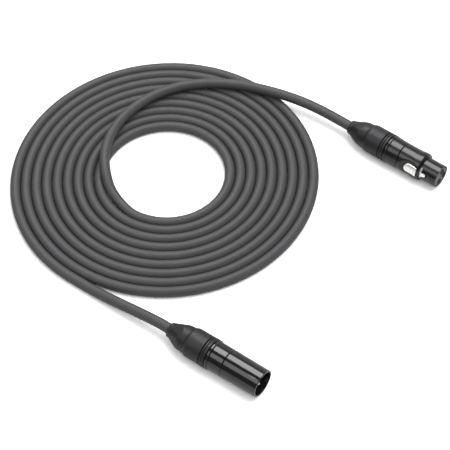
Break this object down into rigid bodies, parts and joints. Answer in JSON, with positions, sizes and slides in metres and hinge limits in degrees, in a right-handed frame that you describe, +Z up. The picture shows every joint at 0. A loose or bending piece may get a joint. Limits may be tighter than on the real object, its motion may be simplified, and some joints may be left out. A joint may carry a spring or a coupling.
{
  "type": "xlr cable coil",
  "caption": "Balanced microphone cable laid down as a flat spiral coil, with a pin connector on one end and a latching socket connector on the other.",
  "frame": {"origin": "middle of the whole lead's footprint on the surface that it lies on", "axes": "+Z up out of the coil's plane; +X along the male connector, out of its mouth; the female connector lies at +Y and points 3 degrees off +X"},
  "size_m": [0.2618, 0.2254, 0.0202],
  "materials": {
    "cable_jacket": "matte dark grey, smooth flexible jacket",
    "connector_shell": "glossy black coating on die-cast zinc",
    "contact_insert": "moulded black, satin",
    "contact_gold": "gold-plated, bright",
    "spring_steel": "plain spring steel",
    "latch_metal": "nickel-plated, satin bright",
    "core_insulation": "thin coloured insulation",
    "cable_chuck": "moulded natural plastic",
    "gland_nut": "moulded black, satin",
    "coding_ring": "moulded black, satin",
    "cable_boot": "soft black elastomer, matte"
  },
  "bodies": {
    "lead": {"cable_coil": "cable_jacket", "male_tail": "cable_jacket", "female_tail": "cable_jacket", "male_shell": "connector_shell", "male_insert": "contact_insert", "male_pin_1": "contact_gold", "male_pin_2": "contact_gold", "male_pin_3": "contact_gold", "male_ground_strip": "spring_steel", "male_core_wires": "core_insulation", "male_cable_end": "cable_jacket", "male_chuck": "cable_chuck", "male_gland_nut": "gland_nut", "male_boot": "cable_boot", "male_coding_ring": "coding_ring", "female_shell": "connector_shell", "female_insert": "contact_insert", "female_socket_1": "contact_gold", "female_socket_2": "contact_gold", "female_socket_3": "contact_gold", "female_ground_strip": "spring_steel", "female_latch_pin": "spring_steel", "female_latch_spring": "spring_steel", "female_core_wires": "core_insulation", "female_cable_end": "cable_jacket", "female_chuck": "cable_chuck", "female_gland_nut": "gland_nut", "female_boot": "cable_boot", "female_coding_ring": "coding_ring"},
    "latch": {"female_latch": "latch_metal"}
  },
  "joints": [
    {"name": "latch_hinge", "type": "hinge", "parent": "lead", "child": "latch", "pos_m": [0.10332, 0.09503, 0.01232], "axis": [0.0179, 0.3416, 0.9397], "range_deg": [0, 3.5], "stiffness_Nm_per_rad": 0.2, "springref_deg": -14.32}
  ]
}
